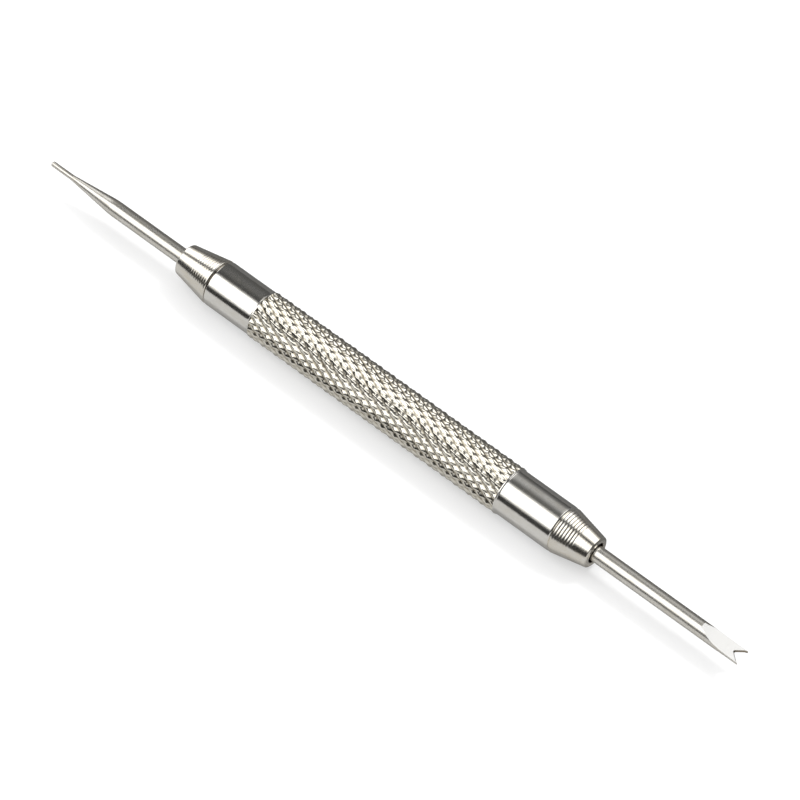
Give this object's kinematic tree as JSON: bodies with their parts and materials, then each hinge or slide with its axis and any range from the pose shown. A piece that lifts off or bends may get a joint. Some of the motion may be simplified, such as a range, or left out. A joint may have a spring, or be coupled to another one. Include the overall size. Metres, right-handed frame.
{
  "type": "spring bar tool",
  "caption": "Slim double-ended watch spring bar tool: knurled metal handle with conical screw-in noses, a straight push pin at one end and a flat notched fork at the other.",
  "frame": {"origin": "middle of the overall length, on the tool's axis", "axes": "+X along the axis from the pin end to the fork end, +Z normal to the fork's flats, +Y to the side along the width of the fork"},
  "size_m": [0.135, 0.008, 0.008],
  "materials": {
    "handle_nickel": "bright nickel plate over a diamond knurl",
    "nose_nickel": "bright nickel plate with fine turning rings",
    "tip_steel": "hardened steel, finely ground and plated"
  },
  "bodies": {
    "barrel": {"barrel": "handle_nickel"},
    "pin_nose": {"pin_nose": "nose_nickel"},
    "pin_tip": {"pin_tip": "tip_steel"},
    "fork_nose": {"fork_nose": "nose_nickel"},
    "fork_tip": {"fork_tip": "tip_steel"}
  },
  "joints": [
    {"name": "pin_nose_travel", "type": "slide", "parent": "barrel", "child": "pin_nose", "axis": [-1, 0, 0], "range_m": [0, 0.0062]},
    {"name": "pin_tip_unscrew", "type": "hinge", "parent": "pin_nose", "child": "pin_tip", "pos_m": [-0.03305, 0, 0], "axis": [-1, 0, 0], "range_deg": [0, 2790]},
    {"name": "fork_nose_travel", "type": "slide", "parent": "barrel", "child": "fork_nose", "axis": [1, 0, 0], "range_m": [0, 0.0062]},
    {"name": "fork_tip_unscrew", "type": "hinge", "parent": "fork_nose", "child": "fork_tip", "pos_m": [0.0343, 0, 0], "axis": [1, 0, 0], "range_deg": [0, 2790]}
  ],
  "couplings": [
    {"joint": "pin_tip_unscrew", "follows": "pin_nose_travel", "rad_per_m": 7854},
    {"joint": "fork_tip_unscrew", "follows": "fork_nose_travel", "rad_per_m": 7854}
  ]
}
